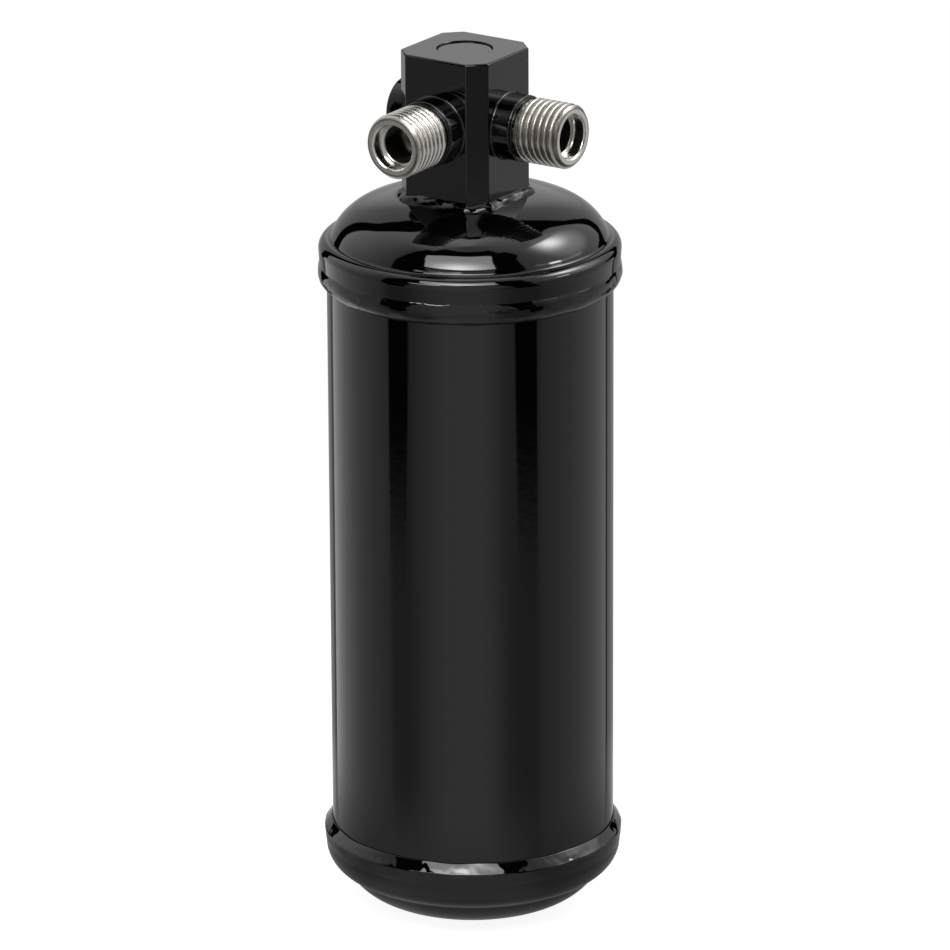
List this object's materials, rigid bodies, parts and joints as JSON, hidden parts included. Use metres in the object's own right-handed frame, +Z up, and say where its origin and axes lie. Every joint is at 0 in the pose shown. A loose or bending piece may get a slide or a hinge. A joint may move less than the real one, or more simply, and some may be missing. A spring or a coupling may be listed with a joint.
{
  "type": "receiver drier",
  "caption": "Upright sealed steel canister with domed caps, a square head block and threaded ports at right angles; it filters and dries liquid refrigerant.",
  "frame": {"origin": "on the body's axis, at the flat of the lower cap that the part stands on", "axes": "+Z up the body's axis; the inlet port leaves the head block towards -Y and the outlet port towards +X"},
  "size_m": [0.0746, 0.0746, 0.2198],
  "materials": {
    "black_paint": "gloss",
    "bare_steel": "turned",
    "plated_steel": "satin",
    "spring_steel": "satin",
    "felt": "matte",
    "molecular_sieve": "matte"
  },
  "bodies": {
    "root": {"body_tube": "black_paint", "lower_cap": "black_paint", "upper_cap": "black_paint", "lower_girth_weld": "black_paint", "upper_girth_weld": "black_paint", "head_block": "black_paint", "head_weld": "black_paint", "top_plug": "black_paint", "side_plug": "black_paint", "inlet_port": "bare_steel", "outlet_port": "bare_steel", "inlet_braze": "black_paint", "outlet_braze": "black_paint", "pickup_tube": "plated_steel", "pickup_strainer": "plated_steel", "lower_plate": "plated_steel", "upper_plate": "plated_steel", "lower_pad": "felt", "upper_pad": "felt", "desiccant": "molecular_sieve", "spring": "spring_steel"}
  },
  "joints": []
}
